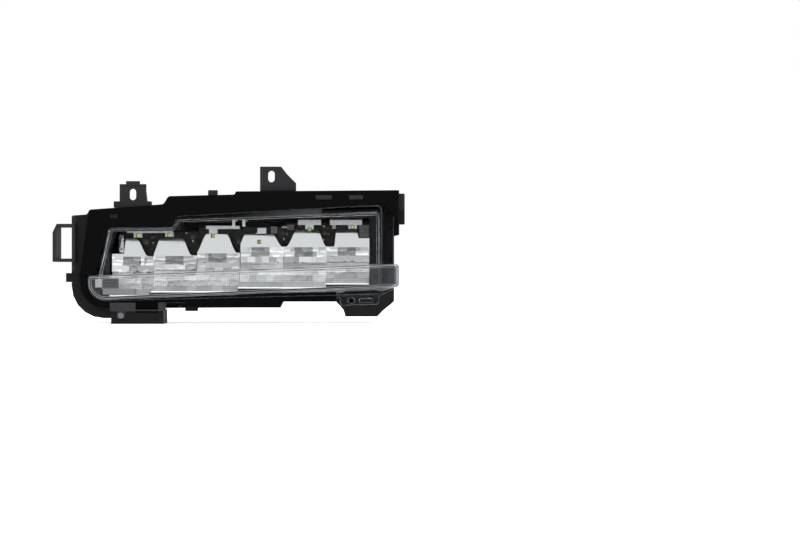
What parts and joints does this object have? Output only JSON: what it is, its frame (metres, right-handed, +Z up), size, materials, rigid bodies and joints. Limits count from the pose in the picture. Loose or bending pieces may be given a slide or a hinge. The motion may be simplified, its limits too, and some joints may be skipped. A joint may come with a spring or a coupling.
{
  "type": "bumper turn signal and daytime lamp",
  "caption": "Front bumper turn signal and daytime lamp: black bezel, clear lens with a forward blade along its foot, stepped chromed reflector cells and a finned heat sink behind.",
  "frame": {"origin": "middle of the inner fixing slot, at the front face of the housing flange", "axes": "+X along the lamp towards the middle of the car, +Y backwards into the car, +Z up"},
  "size_m": [0.371, 0.111, 0.1659],
  "materials": {
    "housing_plastic": "matte",
    "bezel_plastic": "satin",
    "clear_lens": "polished",
    "seal_rubber": "matte",
    "mask_plastic": "satin",
    "chromed_plastic": "polished",
    "board_laminate": "satin",
    "led_package": "gloss",
    "white_plastic": "satin",
    "grey_plastic": "satin",
    "screw_steel": "satin",
    "jumper_film": "satin",
    "light_plastic": "satin",
    "retainer_plastic": "satin",
    "cast_aluminium": "satin",
    "green_laminate": "satin",
    "chip_plastic": "matte",
    "tinned_brass": "satin",
    "vent_rubber": "matte"
  },
  "bodies": {
    "root": {"lamp_housing": "housing_plastic", "front_bezel": "bezel_plastic", "outer_lens": "clear_lens", "lens_seal": "seal_rubber", "inner_bezel": "mask_plastic", "outer_reflector": "chromed_plastic", "inner_reflector": "chromed_plastic", "outer_led_board": "board_laminate", "middle_led_board": "board_laminate", "inner_led_board": "board_laminate", "leds": "led_package", "led_hoods": "chromed_plastic", "board_clips": "white_plastic", "board_connectors": "grey_plastic", "board_screws": "screw_steel", "board_jumpers": "jumper_film", "corner_trim": "light_plastic", "retainer_plate": "retainer_plastic", "retainer_screw": "screw_steel", "heat_sink": "cast_aluminium", "heat_sink_gasket": "seal_rubber", "heat_sink_screws": "screw_steel", "driver_board": "green_laminate", "driver_parts": "chip_plastic", "driver_screws": "screw_steel", "connector_pins": "tinned_brass", "vent_cap": "vent_rubber"}
  },
  "joints": []
}
